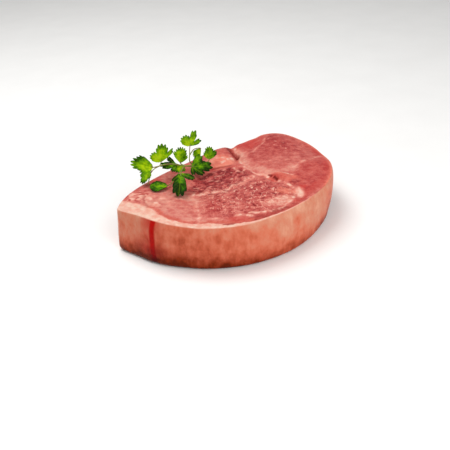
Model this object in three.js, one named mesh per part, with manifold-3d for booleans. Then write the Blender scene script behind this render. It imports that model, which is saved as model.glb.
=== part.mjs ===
// A thick slice of raw boneless pork leg with a sprig of parsley lying on it.
// Millimetres, +Z up. +X runs along the slice from its fat heel corner to its lean end, the rind is on the
// -Y side, and the origin is on the resting face, below the middle of the slice.

import * as THREE from 'three';
import { mergeVertices } from 'three/addons/utils/BufferGeometryUtils.js';
import Module from 'manifold-3d';

// Slice: height and wall
const THICKNESS = 46; // usual height of the cut face above the resting face
const RIM_RADIUS = 1.5; // rounding between the cut face and the wall
const FOOT_RADIUS = 5; // rounding where the wall tucks in under the slice
const BELLY = 2.5; // bulge of the wall
const BELLY_SKEW = 0.7; // under 1 puts the fullest part of the bulge above half height
const STRAIGHT_REACH = 30; // this near the heel corner the wall is straight
const CLEFT = [61, 68]; // where the main seam opens in the back wall
const CLEFT_DEPTH = 5;
const CLEFT_WIDTH = 7;

// Slice: landmarks of the plan outline, anticlockwise from the heel corner.
const OUTLINE = [
  [-120, 52],
  [-117, 26],
  [-114, 4],
  [-107, -15],
  [-91, -41],
  [-60, -65],
  [-18, -76],
  [29, -76],
  [68, -66],
  [98.5, -43.5],
  [118, -12],
  [122, 16],
  [118, 43],
  [103, 56],
  [78, 65],
  [46, 75],
  [3, 77],
  [-46, 76],
  [-86, 70],
  [-108, 61],
  [-117, 55],
];

// Slice: where the foot of the wall stands further out than the rim, or further in.
const SPREADS = [
  { name: 'heel', x: -120, y: 15, reach: 35, out: 3 },
  { name: 'corner', x: -121, y: 51, reach: 20, out: 1 },
  { name: 'lean end', x: 90, y: -48, reach: 55, out: -3 },
  { name: 'front', x: -8, y: -78, reach: 48, out: 5 },
];

// Cut face: the muscles stand proud or sunken as soft domes, given by centre, reach and rise.
const MUSCLES = [
  { name: 'rump', x: 86, y: 5, reachX: 48, reachY: 60, rise: 4 },
  { name: 'front', x: -20, y: -36, reachX: 42, reachY: 26, rise: 2 },
  { name: 'left', x: -77, y: 5, reachX: 30, reachY: 40, rise: 1.5 },
  { name: 'heart', x: -17, y: 22, reachX: 40, reachY: 18, rise: -3 },
  { name: 'crown', x: 32, y: 62, reachX: 16, reachY: 14, rise: 2.5 },
  { name: 'wedge', x: 38, y: -27, reachX: 9, reachY: 17, rise: 1.5 },
  { name: 'heel', x: -107, y: 15, reachX: 28, reachY: 34, rise: 1.5 },
  { name: 'corner', x: -121, y: 51, reachX: 14, reachY: 14, rise: -0.5 },
  { name: 'ridge', x: 104, y: 44, reachX: 24, reachY: 26, rise: 4 },
  { name: 'shoulder', x: 74, y: 66, reachX: 14, reachY: 12, rise: -1.2 },
  { name: 'limb', x: 116, y: -22, reachX: 22, reachY: 26, rise: -4.5 },
];

// Cut face: the seams between the muscles, as grooves along smooth lines.
const SEAMS = [
  { depth: 2, width: 5, line: [[61, 70], [42, 43], [36, 24], [29, 0], [28, -28], [23, -52], [15, -70]] },
  { depth: 1.2, width: 4.5, line: [[31, -7], [41, -11], [47, -24], [42, -38], [33, -47]] },
  { depth: 1.5, width: 5, line: [[-59, 15], [-35, 6], [-12, -4], [28, -3]] },
  { depth: 1, width: 5, line: [[-58, 7], [-77, -16], [-89, -29]] },
  { depth: 1.2, width: 5, line: [[40, 43], [28, 39], [-2, 43], [-42, 31]] },
  { depth: 1, width: 4.5, line: [[65, 39], [78, 51], [93, 61]] },
];

// Cut face: hollows along the main seam.
const HOLLOWS = [
  { x: 42, y: 43, radius: 8, depth: 3 },
  { x: 31, y: -15, radius: 5, depth: 3 },
  { x: 29, y: -24, radius: 5, depth: 3 },
];

// Parsley leaflet: lobes that fan out from one base, each with a blunt, toothed end. Reaches and heights are
// shares of its length.
const LEAF_THICKNESS = 0.8;
const LEAF_START = 0.1; // reach of its inner end, round the stalk
const LEAF_HEEL = 0.18; // reach of its edge behind the lobes and between them
const MIDRIB = 0.25; // length of the stalk that runs into it
const LOBE_BLUNTNESS = 2.5; // the higher, the blunter a lobe's end
const TOOTH = 0.11; // depth of the teeth
const TEETH = 13;
const RIPPLE = 0.05; // height of the waves across it

// Parsley: stalk sizes, and the gap that keeps the sprig clear of the meat.
const STALK_RADIUS = 1.3;
const PETIOLE_RADIUS = 0.85;
const CONTACT_GAP = 0.6;

// Fineness of the faceted surfaces
const GRID = 40; // cells along each side of the cut face's grid, an even number
const RIM_STEPS = 2;
const SIDE_STEPS = 4;
const FOOT_STEPS = 2;
const SEAM_SAMPLES = 40;
const LENGTH_SAMPLES = 1000;
const LEAF_RINGS = 2;
const LEAF_SECTORS = 2 * TEETH;
const STALK_SIDES = 6;
const STALK_STEPS = 2; // rings between two points of a stalk
const MERGE_DISTANCE = 1e-3; // vertices closer than this are one

const MEAT_MATERIAL = new THREE.MeshStandardMaterial({ color: 0xcb6c62, roughness: 0.4, metalness: 0 });
const PARSLEY_MATERIAL = new THREE.MeshStandardMaterial({ color: 0x5f8f1a, roughness: 0.6, metalness: 0 });

const wasm = await Module();
wasm.setup();

const outlineCurve = smoothLine(OUTLINE, true);
const seamLines = SEAMS.map(({ line, depth, width }) => {
  return { depth, width, points: smoothLine(line, false).getSpacedPoints(SEAM_SAMPLES) };
});

// A smooth curve in the plan through given points, measured finely enough to be stepped along evenly.
function smoothLine(points, closed) {
  const places = points.map(([x, y]) => new THREE.Vector3(x, y, 0));
  const line = new THREE.CatmullRomCurve3(places, closed, 'centripetal');
  line.arcLengthDivisions = LENGTH_SAMPLES;
  return line;
}

function bell(distance, reach) {
  return Math.exp(-((distance / reach) ** 2));
}

// Height of the cut face over a point of the plan.
function cutHeight(x, y) {
  let height = THICKNESS;
  for (const muscle of MUSCLES) {
    height += muscle.rise * bell(x - muscle.x, muscle.reachX) * bell(y - muscle.y, muscle.reachY);
  }
  for (const seam of seamLines) {
    const away = Math.min(...seam.points.map((point) => Math.hypot(x - point.x, y - point.y)));
    height -= seam.depth * bell(away, seam.width);
  }
  for (const hollow of HOLLOWS) {
    height -= hollow.depth * bell(Math.hypot(x - hollow.x, y - hollow.y), hollow.radius);
  }
  return height;
}

// A point of the plan at share u of the way round the outline, moved out from the middle by a distance.
function outlinePoint(u, out) {
  const point = outlineCurve.getPointAt(u % 1);
  const dent = CLEFT_DEPTH * bell(Math.hypot(point.x - CLEFT[0], point.y - CLEFT[1]), CLEFT_WIDTH);
  const radius = point.length();
  return point.multiplyScalar((radius + out - dent) / radius);
}

// The wall's rows from the cut face down: how far out each is, and its height, given below the cut face,
// above the resting face or as a share of the way between.
function wallRows() {
  const rows = [];
  for (let i = 1; i <= RIM_STEPS; i++) {
    const turn = (Math.PI / 2) * (i / RIM_STEPS);
    const below = RIM_RADIUS * (1 - Math.cos(turn));
    rows.push({ out: -RIM_RADIUS * (1 - Math.sin(turn)), below, share: 0 });
  }
  for (let i = 1; i < SIDE_STEPS; i++) {
    const share = i / SIDE_STEPS;
    rows.push({ out: 0, bulge: BELLY * Math.sin(Math.PI * share ** BELLY_SKEW), share });
  }
  for (let i = 0; i <= FOOT_STEPS; i++) {
    const turn = (Math.PI / 2) * (i / FOOT_STEPS);
    const above = FOOT_RADIUS * (1 - Math.sin(turn));
    rows.push({ out: -FOOT_RADIUS * (1 - Math.cos(turn)), above, share: 1 });
  }
  return rows;
}

function wallPoint(u, row) {
  const rim = outlinePoint(u, -RIM_RADIUS);
  const top = cutHeight(rim.x, rim.y);
  const [cornerX, cornerY] = OUTLINE[0];
  const straight = bell(Math.hypot(rim.x - cornerX, rim.y - cornerY), STRAIGHT_REACH);
  let out = row.out + (row.bulge ?? 0) * (1 - straight);
  for (const spread of SPREADS) {
    out += row.share * spread.out * bell(Math.hypot(rim.x - spread.x, rim.y - spread.y), spread.reach);
  }
  const point = outlinePoint(u, out);
  const sideTop = top - (row.below ?? RIM_RADIUS);
  point.z = row.above ?? THREE.MathUtils.lerp(sideTop, FOOT_RADIUS, row.share);
  return point;
}

// Share of the way out, and share round the outline, of a point of the square grid.
function gridRing(column, row) {
  const a = (2 * column) / GRID - 1;
  const b = (2 * row) / GRID - 1;
  const t = Math.max(Math.abs(a), Math.abs(b));
  if (t === 0) return { t, u: 0 };
  if (b === -t) return { t, u: (a / t + 1) / 8 };
  if (a === t) return { t, u: (b / t + 3) / 8 };
  if (b === t) return { t, u: (5 - a / t) / 8 };
  return { t, u: (7 - b / t) / 8 };
}

// The grid's border vertices, anticlockwise from its first corner.
function gridBorder(vertexAt) {
  const border = [];
  for (let i = 0; i < GRID; i++) border.push(vertexAt(i, 0));
  for (let i = 0; i < GRID; i++) border.push(vertexAt(GRID, i));
  for (let i = GRID; i > 0; i--) border.push(vertexAt(i, GRID));
  for (let i = GRID; i > 0; i--) border.push(vertexAt(0, i));
  return border;
}

function meshGeometry(vertices, triangles) {
  const geometry = new THREE.BufferGeometry().setFromPoints(vertices);
  geometry.setIndex(triangles.flat());
  geometry.computeVertexNormals();
  return geometry;
}

// The slice: a gridded cut face, rows of wall round it, and a flat resting face. Each cell of the grid is
// split along its flatter diagonal, so that the edges follow the grooves.
function sliceGeometry() {
  const vertices = [];
  const triangles = [];
  const vertexAt = (column, row) => row * (GRID + 1) + column;
  for (let row = 0; row <= GRID; row++) {
    for (let column = 0; column <= GRID; column++) {
      const { t, u } = gridRing(column, row);
      const point = outlinePoint(u, -RIM_RADIUS).multiplyScalar(t);
      point.z = cutHeight(point.x, point.y);
      vertices.push(point);
    }
  }
  for (let row = 0; row < GRID; row++) {
    for (let column = 0; column < GRID; column++) {
      const [a, b] = [vertexAt(column, row), vertexAt(column + 1, row)];
      const [c, d] = [vertexAt(column + 1, row + 1), vertexAt(column, row + 1)];
      const alongAC = Math.abs(vertices[a].z - vertices[c].z) <= Math.abs(vertices[b].z - vertices[d].z);
      triangles.push(...(alongAC ? [[a, b, c], [a, c, d]] : [[a, b, d], [b, c, d]]));
    }
  }
  let upper = gridBorder(vertexAt);
  for (const row of wallRows()) {
    const lower = upper.map((_, i) => vertices.push(wallPoint(i / upper.length, row)) - 1);
    upper.forEach((vertex, i) => {
      const next = (i + 1) % upper.length;
      triangles.push([vertex, lower[i], lower[next]], [vertex, lower[next], upper[next]]);
    });
    upper = lower;
  }
  const middle = vertices.push(new THREE.Vector3(0, 0, 0)) - 1;
  upper.forEach((vertex, i) => triangles.push([middle, upper[(i + 1) % upper.length], vertex]));
  return meshGeometry(vertices, triangles);
}

// Reach of a leaflet's edge, as a share of its length, in a direction from its base. Each lobe is given by
// its direction, its reach and half the angle that it spans, in degrees.
function leafReach(degrees, lobes) {
  return Math.max(LEAF_HEEL, ...lobes.map(([middle, length, half]) => {
    const off = Math.min(1, Math.abs(degrees - middle) / half);
    return length * (1 - off ** LOBE_BLUNTNESS);
  }));
}

// A leaflet: a thin wavy blade from base to tip whose upper side looks along face.
function leafGeometry({ base, tip, face, lobes, tooth = TOOTH, fold = 0.15, droop = 0.12 }) {
  const start = new THREE.Vector3(...base);
  const along = new THREE.Vector3(...tip).sub(start);
  const length = along.length();
  along.normalize();
  const up = new THREE.Vector3(...face).projectOnPlane(along).normalize();
  const across = new THREE.Vector3().crossVectors(up, along);
  const first = Math.min(...lobes.map(([middle, , half]) => middle - half));
  const last = Math.max(...lobes.map(([middle, , half]) => middle + half));
  const blade = [];
  for (let ring = 0; ring <= LEAF_RINGS; ring++) {
    for (let sector = 0; sector <= LEAF_SECTORS; sector++) {
      const degrees = THREE.MathUtils.lerp(first, last, sector / LEAF_SECTORS);
      const angle = THREE.MathUtils.degToRad(degrees);
      const share = THREE.MathUtils.lerp(LEAF_START, 1, ring / LEAF_RINGS);
      const notch = sector % 2 === 0 ? 1 - tooth : 1;
      const reach = leafReach(degrees, lobes) * notch * share;
      const ripple = RIPPLE * Math.cos((TEETH / 2) * angle);
      const height = fold * reach * Math.abs(Math.sin(angle)) + (ripple - droop) * reach ** 2;
      blade.push(
        start.clone()
          .addScaledVector(along, length * reach * Math.cos(angle))
          .addScaledVector(across, length * reach * Math.sin(angle))
          .addScaledVector(up, length * height),
      );
    }
  }
  return thickened(blade, LEAF_RINGS, LEAF_SECTORS, up.multiplyScalar(-LEAF_THICKNESS));
}

// A closed sheet from a grid of points: the grid, its copy moved by offset, and the strip between them.
function thickened(points, rows, columns, offset) {
  const vertices = [...points, ...points.map((point) => point.clone().add(offset))];
  const under = points.length;
  const vertexAt = (row, column) => row * (columns + 1) + column;
  const triangles = [];
  for (let row = 0; row < rows; row++) {
    for (let column = 0; column < columns; column++) {
      const [a, b] = [vertexAt(row, column), vertexAt(row + 1, column)];
      const [c, d] = [vertexAt(row + 1, column + 1), vertexAt(row, column + 1)];
      triangles.push([a, b, c], [a, c, d]);
      triangles.push([under + c, under + b, under + a], [under + d, under + c, under + a]);
    }
  }
  const border = [];
  for (let row = 0; row < rows; row++) border.push(vertexAt(row, 0));
  for (let column = 0; column < columns; column++) border.push(vertexAt(rows, column));
  for (let row = rows; row > 0; row--) border.push(vertexAt(row, columns));
  for (let column = columns; column > 0; column--) border.push(vertexAt(0, column));
  border.forEach((vertex, i) => {
    const next = border[(i + 1) % border.length];
    triangles.push([vertex, under + vertex, under + next], [vertex, under + next, next]);
  });
  return meshGeometry(vertices, triangles);
}

function stalkGeometry(points, radius) {
  const section = new THREE.Shape();
  section.absarc(0, 0, radius, 0, 2 * Math.PI, false);
  const path = new THREE.CatmullRomCurve3(points.map((point) => new THREE.Vector3(...point)));
  const steps = STALK_STEPS * (points.length - 1);
  return new THREE.ExtrudeGeometry(section, {
    curveSegments: STALK_SIDES / 2, steps, bevelEnabled: false, extrudePath: path,
  });
}

// A place lying on the cut face, for the middle of something of a given half thickness.
function onMeat(x, y, half) {
  return [x, y, cutHeight(x, y) + half + CONTACT_GAP];
}

// The last points of a stalk that ends in a leaflet.
function into({ base, tip }) {
  const inner = new THREE.Vector3(...base).lerp(new THREE.Vector3(...tip), MIDRIB);
  return [base, inner.toArray()];
}

function toSolid(geometry) {
  const bare = new THREE.BufferGeometry().setAttribute('position', geometry.getAttribute('position'));
  bare.setIndex(geometry.getIndex());
  const merged = mergeVertices(bare, MERGE_DISTANCE);
  return new wasm.Manifold(new wasm.Mesh({
    numProp: 3,
    vertProperties: Float32Array.from(merged.getAttribute('position').array),
    triVerts: Uint32Array.from(merged.getIndex().array),
  }));
}

function fusedGeometry(pieces) {
  const fused = pieces.map(toSolid).reduce((whole, piece) => whole.add(piece)).getMesh();
  const geometry = new THREE.BufferGeometry();
  geometry.setAttribute('position', new THREE.BufferAttribute(fused.vertProperties, 3));
  geometry.setIndex(new THREE.BufferAttribute(fused.triVerts, 1));
  geometry.computeVertexNormals();
  return geometry;
}

// The sprig: a stalk along the cut face, branches that rise from it, and a leaflet at each end.
function sprigGeometry() {
  const node = [-25, 54, 57];
  const fork = [-12, 61, 63];
  const bend = [-49, 67, 62];
  const leaflets = {
    top: {
      base: [-6, 66, 70], tip: [2, 65, 86], face: [-0.5, -0.7, 0.3],
      lobes: [[0, 1, 27], [-41, 0.77, 25], [55, 0.76, 60]],
    },
    upperLeft: {
      base: [-42, 73, 62], tip: [-37, 74, 81], face: [-0.6, -0.7, 0.3],
      lobes: [[0, 1, 46], [-37, 1, 14], [54, 0.72, 50]],
    },
    farLeft: {
      base: [-57, 68, 63], tip: [-79, 75, 75], face: [-0.6, -0.6, 0.6],
      lobes: [[0, 1, 34], [-14, 0.84, 32], [26, 0.66, 32]],
    },
    leftLow: {
      base: [-59, 72, 60], tip: [-74, 69, 51], face: [-0.8, -0.1, 0.6],
      lobes: [[0, 1, 34], [-26, 0.7, 32], [26, 0.7, 32]],
    },
    centreUp: {
      base: [-25, 62, 58], tip: [-21, 63, 75], face: [-0.6, -0.7, 0.3],
      lobes: [[0, 1, 50], [32, 0.84, 18], [-38, 0.66, 22]],
    },
    curl: {
      base: [-32, 60, 59], tip: [-49, 66, 63], face: [0, -0.5, 0.85],
      lobes: [[0, 1, 36], [-48, 0.7, 30], [48, 0.7, 30]],
    },
    right: {
      base: [10, 54, 52], tip: [13, 56, 66], face: [-0.4, -0.8, 0.4],
      lobes: [[0, 1, 48], [-38, 0.86, 32], [36, 0.72, 30]],
    },
    rightMid: {
      base: [2, 58, 67], tip: [-6, 61, 58], face: [-0.8, -0.5, 0.4],
      lobes: [[0, 1, 44], [-22, 0.82, 24], [22, 0.82, 24]],
    },
    darkRight: {
      base: [-20, 50, 56], tip: [-1, 37, 54], face: [-0.4, -0.5, 0.8],
      lobes: [[0, 1, 36], [-42, 0.7, 36], [44, 0.74, 34], [-86, 0.48, 30]],
    },
    centre: {
      base: [-27, 60, 57], tip: [-37, 56, 54], face: [-0.4, -0.6, 0.7],
      lobes: [[0, 1, 45], [-52, 0.85, 36], [52, 0.85, 36]],
    },
    lower: {
      base: [-47, 37, 62], tip: [-67, 20, 51], face: [-0.4, -0.5, 0.8],
      lobes: [[0, 1, 36], [-34, 0.5, 20], [62, 0.58, 32]],
    },
    lowLeft: {
      base: [-58, 46.5, 49.5], tip: [-73, 57, 49.5], face: [-0.1, -0.2, 1],
      lobes: [[0, 1, 62]], tooth: 0.04, droop: 0.04,
    },
  };
  const { top, upperLeft, farLeft, leftLow, centreUp, curl } = leaflets;
  const { right, rightMid, darkRight, centre, lower, lowLeft } = leaflets;
  const stalk = [onMeat(6, 50, STALK_RADIUS), onMeat(-3, 52, STALK_RADIUS), [-14, 54, 53], node];
  const petioles = [
    [[-14, 54, 53], [-15, 58, 58], fork, ...into(top)],
    [fork, [-6, 60, 68], ...into(rightMid)],
    [node, [-38, 61, 62], bend, [-58, 70, 58], onMeat(-68, 66, PETIOLE_RADIUS)],
    [bend, ...into(upperLeft)],
    [bend, ...into(farLeft)],
    [[-58, 70, 58], ...into(leftLow)],
    [node, ...into(centreUp)],
    [node, ...into(curl)],
    [onMeat(-3, 52, STALK_RADIUS), ...into(right)],
    [[-14, 54, 53], ...into(darkRight)],
    [node, ...into(centre)],
    [node, [-37, 45, 62], ...into(lower)],
    [node, [-36, 54, 52], onMeat(-48, 51, PETIOLE_RADIUS), ...into(lowLeft)],
  ];
  return fusedGeometry([
    stalkGeometry(stalk, STALK_RADIUS),
    ...petioles.map((points) => stalkGeometry(points, PETIOLE_RADIUS)),
    ...Object.values(leaflets).map(leafGeometry),
  ]);
}

function named(name, geometry, material) {
  const mesh = new THREE.Mesh(geometry, material);
  mesh.name = name;
  return mesh;
}

const porkLeg = new THREE.Group();
porkLeg.add(named('pork_leg', sliceGeometry(), MEAT_MATERIAL));
porkLeg.add(named('parsley_sprig', sprigGeometry(), PARSLEY_MATERIAL));

export default porkLeg;
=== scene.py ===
"""Looks of a thick slice of raw boneless pork leg with a sprig of parsley lying on it.

The slice and the sprig are rebuilt finely from the sizes that the solids were made from, in millimetres
and in the same frame: +X runs along the slice from its fat heel corner to its lean end, the rind is on the
-Y side, and the origin is on the resting face. Each mesh carries a few named values per vertex, such as how
fat a place is, which its procedural material turns into colour.
"""
import math

import bpy
import numpy as np
from mathutils import Matrix, Vector


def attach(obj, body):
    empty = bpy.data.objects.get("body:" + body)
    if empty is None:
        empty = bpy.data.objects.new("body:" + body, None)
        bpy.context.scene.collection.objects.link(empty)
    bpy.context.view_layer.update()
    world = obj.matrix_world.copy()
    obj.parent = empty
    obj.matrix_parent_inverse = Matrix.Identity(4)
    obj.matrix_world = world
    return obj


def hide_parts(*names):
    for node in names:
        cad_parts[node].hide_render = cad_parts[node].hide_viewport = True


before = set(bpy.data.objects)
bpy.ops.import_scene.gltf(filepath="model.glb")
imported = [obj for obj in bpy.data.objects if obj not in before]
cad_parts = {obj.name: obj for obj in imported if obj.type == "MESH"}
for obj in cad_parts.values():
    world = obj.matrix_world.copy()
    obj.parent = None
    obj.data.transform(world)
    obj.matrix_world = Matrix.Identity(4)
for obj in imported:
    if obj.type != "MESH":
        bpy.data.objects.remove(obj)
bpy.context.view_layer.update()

MM = 0.001  # metres in a millimetre
SHARP_ANGLE = 60  # edges sharper than this many degrees aren't smoothed

# Slice: height and wall
THICKNESS = 46
RIM_RADIUS = 1.5
FOOT_RADIUS = 5
BELLY = 2.5  # how far the wall bulges out
BELLY_SKEW = 0.7  # below 1, so it is widest above the middle of the wall
STRAIGHT_REACH = 30  # this near the heel corner the wall is straight
CLEFT = (61, 68)  # where the main seam dents the back of the wall
CLEFT_DEPTH = 5
CLEFT_WIDTH = 7

# Slice: landmarks of the plan outline, anticlockwise from the heel corner, each with the width of the fat
# that shows there on the cut face and the redness of the rind below it.
FAT_WIDTH, REDNESS = 2, 3  # a landmark's columns
OUTLINE = [
    (-120, 52, 19, 0.43),
    (-117, 26, 16.5, 0.43),
    (-114, 4, 10, 0.44),
    (-107, -15, 6, 0.45),
    (-91, -41, 9.5, 0.48),
    (-60, -65, 3.4, 0.45),
    (-18, -76, 1.5, 0.28),
    (29, -76, 0, 0.24),
    (68, -66, 0, 0.5),
    (98.5, -43.5, 0, 0.66),
    (118, -12, 0, 0.6),
    (122, 16, 0, 0.3),
    (118, 43, 0, 0.3),
    (103, 56, 0, 0.3),
    (78, 65, 0, 0.3),
    (46, 75, 0, 0.3),
    (3, 77, 0, 0.3),
    (-46, 76, 0, 0.3),
    (-86, 70, 12, 0.3),
    (-108, 61, 16, 0.4),
    (-117, 55, 18, 0.4),
]
RIND_ENDS = (0, 10.6)  # landmarks between which the wall is rind
RIND_SOFTNESS = (0.004, 0.006)  # softness of those ends, as shares of the way round
LAST_STRETCH = 0.97  # from this share of the way round, a place counts as before the start

# Slice: where the foot of the wall stands further out than the rim, or further in: place, reach and
# distance.
SPREADS = [
    (-120, 15, 35, 3),
    (-121, 51, 20, 1),
    (90, -48, 55, -3),
    (-8, -78, 48, 5),
]

# Cut face: soft domes and dips of the muscles: place, reach along X and Y, and rise.
MUSCLES = [
    (86, 5, 48, 60, 4),
    (-20, -36, 42, 26, 2),
    (-77, 5, 30, 40, 1.5),
    (-17, 22, 40, 18, -3),
    (32, 62, 16, 14, 2.5),
    (38, -27, 9, 17, 1.5),
    (-107, 15, 28, 34, 1.5),
    (-121, 51, 14, 14, -0.5),
    (104, 44, 24, 26, 4),
    (74, 66, 14, 12, -1.2),
    (116, -22, 22, 26, -4.5),
]

# Cut face: grooves along the seams between the muscles: depth, width and a line.
SEAMS = [
    (2, 5, [(61, 70), (42, 43), (36, 24), (29, 0), (28, -28), (23, -52), (15, -70)]),
    (1.2, 4.5, [(31, -7), (41, -11), (47, -24), (42, -38), (33, -47)]),
    (1.5, 5, [(-59, 15), (-35, 6), (-12, -4), (28, -3)]),
    (1, 5, [(-58, 7), (-77, -16), (-89, -29)]),
    (1.2, 5, [(40, 43), (28, 39), (-2, 43), (-42, 31)]),
    (1, 4.5, [(65, 39), (78, 51), (93, 61)]),
]
GASH = [(58, 74), (51, 62), (47, 52), (46, 46)]  # a narrow gash where the main seam gapes at the back, dark with painted shade
GASH_WIDTH = 2
GASH_DEPTH = 3

# Cut face: hollows along the main seam: place, radius and depth.
HOLLOWS = [
    (42, 43, 8, 3),
    (31, -15, 5, 3),
    (29, -24, 5, 3),
]

# Cut face: mottled places and muscles with a grain of their own: place, reach along and across, turn in
# degrees and softness of the edge.
CORNER_MOTTLE = (-93, 59, 17, 12, -20, 0.5)
LEFT_MOTTLE = (-87, 36, 10, 18, 12, 0.7)
RUMP_FLECKS = (92, 26, 9, 26, -12, 0.6)
HEART = (-9, 20, 35, 22, -6, 0.15)
FRONT = (-18, -28, 46, 32, -20, 0.5)

# Cut face: tones of the muscles, painted one over the other: the same six numbers, and how pale, how warm
# and how red the meat is. Pale runs from 0 for the darkest meat to 1.
USUAL_TONE = {"pale": 0.48, "warm": 0.05, "red": 0.1}
TONES = [
    (82, 12, 50, 64, 0, 0.25, 0.36, 0.04, 0.12),
    (90, 24, 20, 24, 10, 0.8, 0.3, 0, 0.16),
    (74, -48, 42, 24, 28, 0.3, 0.37, 0.06, 0.34),
    (66, -6, 24, 12, -35, 0.8, 0.5, 0.05, 0),
    (75, 57, 18, 13, 0, 0.5, 0.34, 0.1, 0.75),
    (-80, 6, 28, 50, 12, 0.3, 0.62, 0.04, 0),
    (-24, -30, 54, 38, -15, 0.15, 0.43, 0.04, 0.05),
    (-64, -12, 17, 24, 20, 0.6, 0.56, 0.06, 0.05),
    (-57, -19, 15, 8, 45, 0.6, 0.3, 0, 0.25),
    (-58, -52, 9, 5, -40, 0.7, 0.4, 0.1, 0.6),
    (-8, -20, 24, 20, -30, 0.7, 0.38, 0, 0.12),
    (*HEART, 0.15, 0, 0.06),
    (2, 9, 24, 8, -4, 0.5, 0.28, 0, 0.08),
    (18, 9, 12, 6, -15, 0.5, 0.2, 0, 0.1),
    (30, 33, 11, 8, -20, 0.4, 0.38, 0.05, 0.2),
    (23, 49, 16, 13, -30, 0.35, 0.6, 0.55, 0),
    (37, 67, 15, 7, -10, 0.5, 0.45, 0.2, 0.3),
    (38, -30, 8, 18, 8, 0.35, 0.48, 0.5, 0.3),
    (38, -44, 5, 4, 0, 0.6, 0.15, 0, 0),
    (33, -18, 4, 8, 0, 0.8, 0.4, 0.3, 0.7),
    (54, 58, 12, 5, 60, 0.5, 0.5, 0.3, 0.15),
    (16, -50, 10, 7, -40, 0.7, 0.52, 0.5, 0),
    (-5, -58, 15, 8, -20, 0.5, 0.84, 0.12, 0),
    (33, -57, 5, 4, 0, 0.6, 0.4, 0.1, 0.9),
    (9, -70, 6, 3, -10, 0.6, 0.45, 0.1, 0.8),
    (42, -66, 34, 6, 6, 0.5, 0.36, 0.1, 0.6),
    (-25, -69.5, 32, 5, -13, 0.35, 0.14, 0.15, 0.15),
    (-55, 70, 9, 5, 20, 0.7, 0.3, 0, 0.5),
]
DRIFT = (2.5, 22)  # how far the muscles' edges wander, and over what length
WANDER = (2.2, 7)  # and more finely

# Cut face: bands along the edge of the lean end, with their reach and tone.
LEAN_END = (60, 90)  # X over which the lean end begins
BACK_SIDE = (-20, 10)  # Y over which its rind side passes into its back
BACK_LIMB = (5, {"pale": 0.55, "warm": 0.5})
LIMB_DEPTH = (6, 1)  # depths below the cut face at which the back's band is gone and whole
RED_LIMB_PLACE = 6  # how far from the rind the red band lies
RED_LIMB = (4, {"pale": 0.32, "red": 0.75})
GLOW_START = (40, 60)  # X over which the glow of the rind side's edge begins
EDGE_GLOW = (3, {"pale": 0.55, "warm": 0.8, "red": 0})

# Cut face: the edge of the layer of fat, as sizes and as shares of the layer's width
FAT_WAVE = (2.6, 0.5)  # the most that it waves in and out
FAT_SOFTNESS = (0.5, 0.14)  # and the least that it is softened

# Cut face: a red lining inside the layer of fat, with its tone
LINED_WIDTH = 3  # where the layer is wider than this
LINING = (2.5, 2.2)  # distance from the fat, and reach
LINING_END = (20, 36)  # Y over which it ends
LINING_TONE = {"pale": 0.26, "warm": 0.5}

# Cut face: a broad pale band along the main seam: half width, paleness and line.
PALE_BAND = (7, 0.8, [(52, 49), (41, 30), (36, 13), (38, -3), (47, -18), (57, -22)])

# Cut face: films, streaks and a nodule of fat: half width, strength and line. The thin ones are broken up.
WHOLE_WIDTH = 4  # half width from which a film is whole
FILMS = [
    (1.8, 0.8, [(50, 48), (42, 38), (34, 27), (30, 16), (28, 4), (32, -7), (32, -12)]),
    (1.8, 0.7, [(31, -23), (29, -33), (29, -39), (27, -51), (25, -56)]),
    (1.5, 0.6, [(34, -10), (40, -16), (45, -25), (47, -33)]),
    (1.4, 0.4, [(56, 39), (73, 39), (85, 42), (96, 48)]),
    (2.4, 0.4, [(60, -23), (74, -21), (86, -24), (104, -24)]),
    (3.2, 0.62, [(-50, 17), (-35, 10), (-20, -1), (-9, 1), (0, -1), (22, -1)]),
    (2.6, 0.6, [(-56, 12), (-57, 5), (-69, -7), (-78, -19), (-88, -30)]),
    (2, 0.7, [(26, -54), (14, -62), (3, -66), (-13, -69), (-27, -65)]),
    (1.6, 0.7, [(-76, -31), (-70, -37)]),
    (2, 0.9, [(-54, -47), (-45, -58)]),
    (2, 0.75, [(-42, -53), (-31, -63)]),
    (2.2, 1, [(21, 63), (30, 51)]),
    (2, 1, [(22, 47), (39, 47)]),
    (1.8, 0.8, [(57, 61), (53, 54), (50, 48)]),
    (4, 0.95, [(25, -58), (20, -65)]),
    (2.2, 0.6, [(29, -52), (26, -58)]),
    (1.5, 0.7, [(22, 28), (20, 21), (21, 15), (26, 16)]),
    (1.5, 0.6, [(12, 2), (15, -1), (19, -1)]),
    (1.4, 0.6, [(-4, 30), (2, 28)]),
]

# Cut face: dark lines and pits, painted shade in the gash, the pits of the main seam and a crease under a
# muscle's edge: half width, strength and line.
DARK_LINES = [
    (3, 0.72, GASH),
    (2.2, 0.95, [(46, 49), (46, 46)]),
    (1.6, 0.8, [(51, 66), (49, 60)]),
    (1.8, 0.5, [(6, 45), (16, 41), (23, 36)]),
    (1, 0.75, [(33.5, -11), (33.5, -15)]),
    (1.2, 0.9, [(33, -19), (32, -24)]),
    (1.5, 0.4, [(-74, -49), (-68, -55)]),
    (1.6, 0.22, [(-84, 54), (-94, 42), (-100, 29)]),
]

# Rind: redder or paler places on the wall, one of them painted shade low on the rind side: place, height,
# reach along and up, and change of redness.
BLUSHES_AND_SHADE = [
    (-117, 16, 8, 24, 12, 0.16),
    (-107, -14, 14, 22, 11, 0.17),
    (-93, -38, 30, 22, 12, 0.15),
    (-104, -20, 44, 10, 5, 0.16),
    (-80, -50, 16, 16, 8, 0.08),
    (0, -79, 36, 14, 6, 0.14),
    (20, -78, 42, 16, 5, 0.12),
    (60, -69, 20, 5, 16, 0.14),
    (-70, -58, 33, 20, 10, 0.09),
    # painted shade on the lower rind side
    (-15, -78, 12, 45, 12, 0.06),
]
TOP_PALENESS = 0.12  # the rind is this much paler just below the rim
TOP_REACH = 9
FOOT_BLUSH_AND_SHADE = 0.5  # and this much redder and darker at its foot: partly redder skin, partly painted shade where the wall turns under
FOOT_BLUSH_AND_SHADE_HEIGHT = 13

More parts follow.
